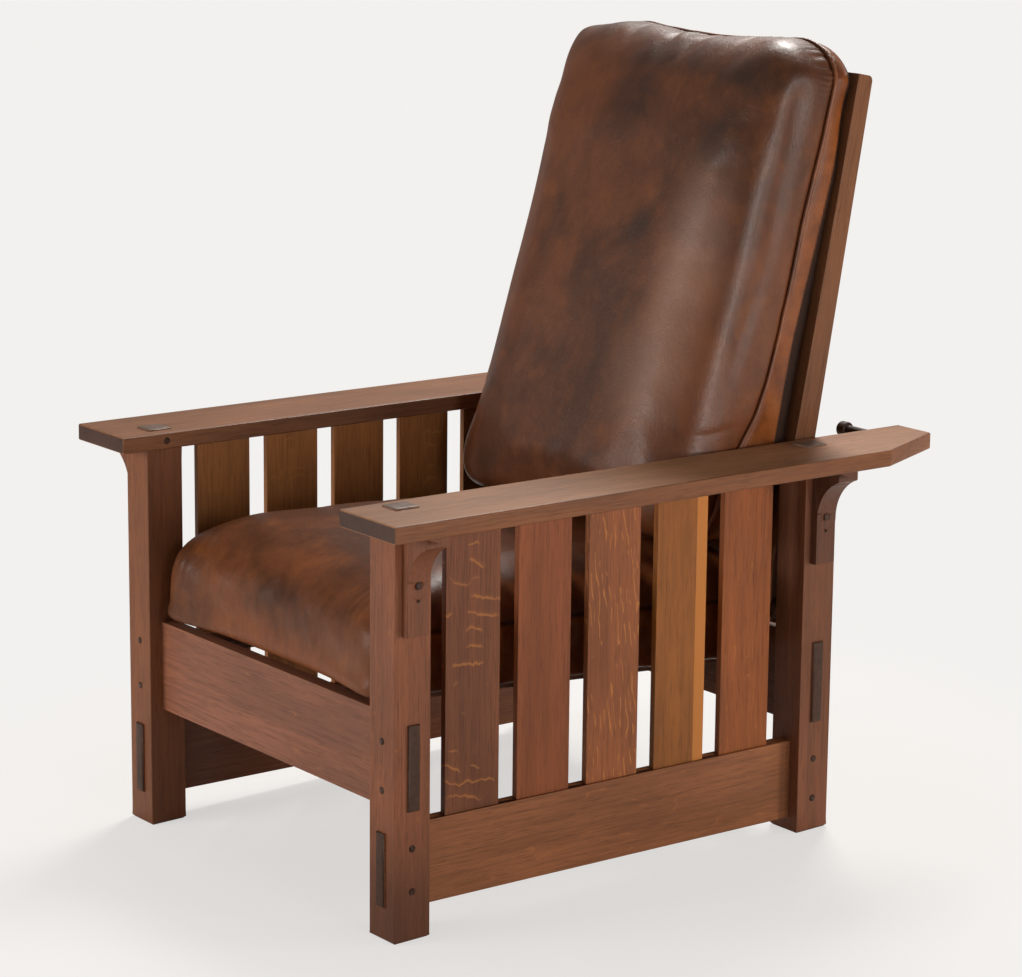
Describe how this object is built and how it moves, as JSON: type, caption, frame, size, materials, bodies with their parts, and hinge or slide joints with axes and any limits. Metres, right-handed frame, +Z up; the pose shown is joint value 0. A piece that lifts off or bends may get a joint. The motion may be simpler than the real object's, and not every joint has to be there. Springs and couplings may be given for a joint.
{
  "type": "reclining armchair",
  "caption": "Mission reclining armchair in dark oak with slatted sides, flat arms on corbels, a hinged back stopped by pegs, and loose leather seat and back cushions.",
  "frame": {"origin": "on the floor, under the middle of the bounding box", "axes": "+Z up, -Y to the front of the chair, +X to the sitter's left"},
  "size_m": [0.781, 0.9562, 1.0853],
  "materials": {
    "oak": "satin, fumed quarter-sawn oak",
    "dark_oak": "satin, near-black end grain of pins, plugs and pegs",
    "leather": "semi-gloss, dark reddish brown leather over a soft filling",
    "steel": "dull steel"
  },
  "bodies": {
    "frame": {"front_left_post": "oak", "front_right_post": "oak", "rear_left_post": "oak", "rear_right_post": "oak", "front_rail": "oak", "rear_rail": "oak", "left_side_rail": "oak", "right_side_rail": "oak", "left_slat_1": "oak", "left_slat_2": "oak", "left_slat_3": "oak", "left_slat_4": "oak", "left_slat_5": "oak", "right_slat_1": "oak", "right_slat_2": "oak", "right_slat_3": "oak", "right_slat_4": "oak", "right_slat_5": "oak", "left_arm": "oak", "right_arm": "oak", "front_left_corbel": "oak", "front_right_corbel": "oak", "rear_left_corbel": "oak", "rear_right_corbel": "oak", "arm_pins": "dark_oak", "cross_rail_pins": "dark_oak", "side_rail_pins": "dark_oak", "corbel_plugs": "dark_oak", "front_cleat": "oak", "rear_cleat": "oak", "left_bearer": "oak", "right_bearer": "oak", "deck_slat_1": "oak", "deck_slat_2": "oak", "deck_slat_3": "oak", "deck_slat_4": "oak", "deck_slat_5": "oak", "deck_slat_6": "oak", "deck_slat_7": "oak", "hinge_pins": "steel", "hinge_spacers": "dark_oak"},
    "back_frame": {"left_stile": "oak", "right_stile": "oak", "back_bottom_rail": "oak", "back_slat_1": "oak", "back_slat_2": "oak", "back_slat_3": "oak", "back_slat_4": "oak", "back_top_rail": "oak"},
    "back_cushion": {"back_cushion": "leather"},
    "seat_cushion": {"seat_cushion": "leather"},
    "left_peg": {"left_peg": "dark_oak"},
    "right_peg": {"right_peg": "dark_oak"}
  },
  "joints": [
    {"name": "back_recline", "type": "hinge", "parent": "frame", "child": "back_frame", "pos_m": [0, 0.25635, 0.30974], "axis": [1, 0, 0], "range_deg": [-21, 0]},
    {"name": "back_cushion_slide", "type": "slide", "parent": "back_frame", "child": "back_cushion", "axis": [0, 0.2219, 0.9751], "range_m": [0, 0.1]},
    {"name": "seat_cushion_slide", "type": "slide", "parent": "frame", "child": "seat_cushion", "axis": [0, -0.9959, 0.0905], "range_m": [0, 0.08]},
    {"name": "left_peg_slide", "type": "slide", "parent": "frame", "child": "left_peg", "axis": [-1, 0, 0], "range_m": [0, 0.045]},
    {"name": "right_peg_slide", "type": "slide", "parent": "frame", "child": "right_peg", "axis": [1, 0, 0], "range_m": [0, 0.045]}
  ]
}
